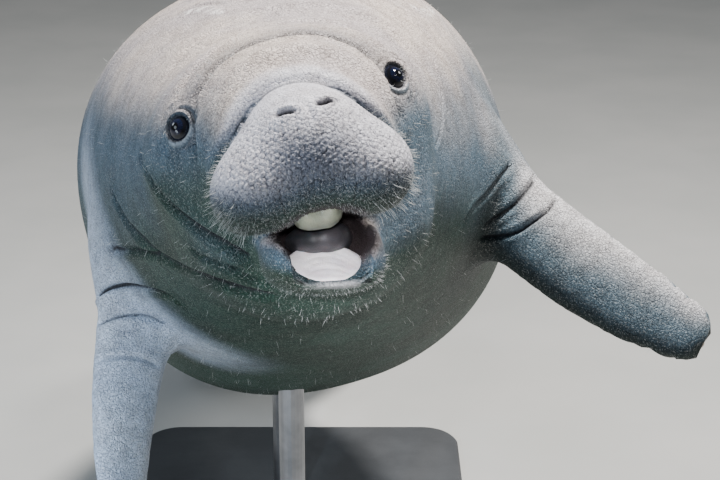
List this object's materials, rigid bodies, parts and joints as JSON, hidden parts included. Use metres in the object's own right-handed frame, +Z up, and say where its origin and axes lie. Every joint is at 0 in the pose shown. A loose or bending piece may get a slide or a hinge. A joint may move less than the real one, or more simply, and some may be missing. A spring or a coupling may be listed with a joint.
{
  "type": "manatee",
  "caption": "Life-size still model of a young manatee swimming with its mouth open, banked on a plain display stand.",
  "frame": {"origin": "middle of the whole model's bounding box on the floor, at the underside of the stand's base", "axes": "+Z up, the animal faces -Y with its tail towards +Y, and its left side is +X"},
  "size_m": [0.8074, 1.9814, 1.0712],
  "materials": {
    "skin": "wet, finely wrinkled and pebbled hide",
    "eye": "wet gloss",
    "mouth_pad": "moist horny pad",
    "tongue": "moist flesh",
    "nail": "smooth worn nail",
    "bristle": "stiff translucent hair",
    "stand": "satin dark grey paint"
  },
  "bodies": {
    "root": {"head": "skin", "muzzle": "skin", "lower_jaw": "skin", "upper_pad": "mouth_pad", "lower_pad": "mouth_pad", "tongue": "tongue", "neck": "skin", "torso_front": "skin", "torso_rear": "skin", "tail_stock": "skin", "tail_paddle": "skin", "flipper_left": "skin", "flipper_right": "skin", "eye_left": "eye", "eye_right": "eye", "stand_base": "stand", "stand_flange_front": "stand", "stand_rod_front": "stand", "stand_flange_rear": "stand", "stand_rod_rear": "stand"}
  },
  "joints": []
}
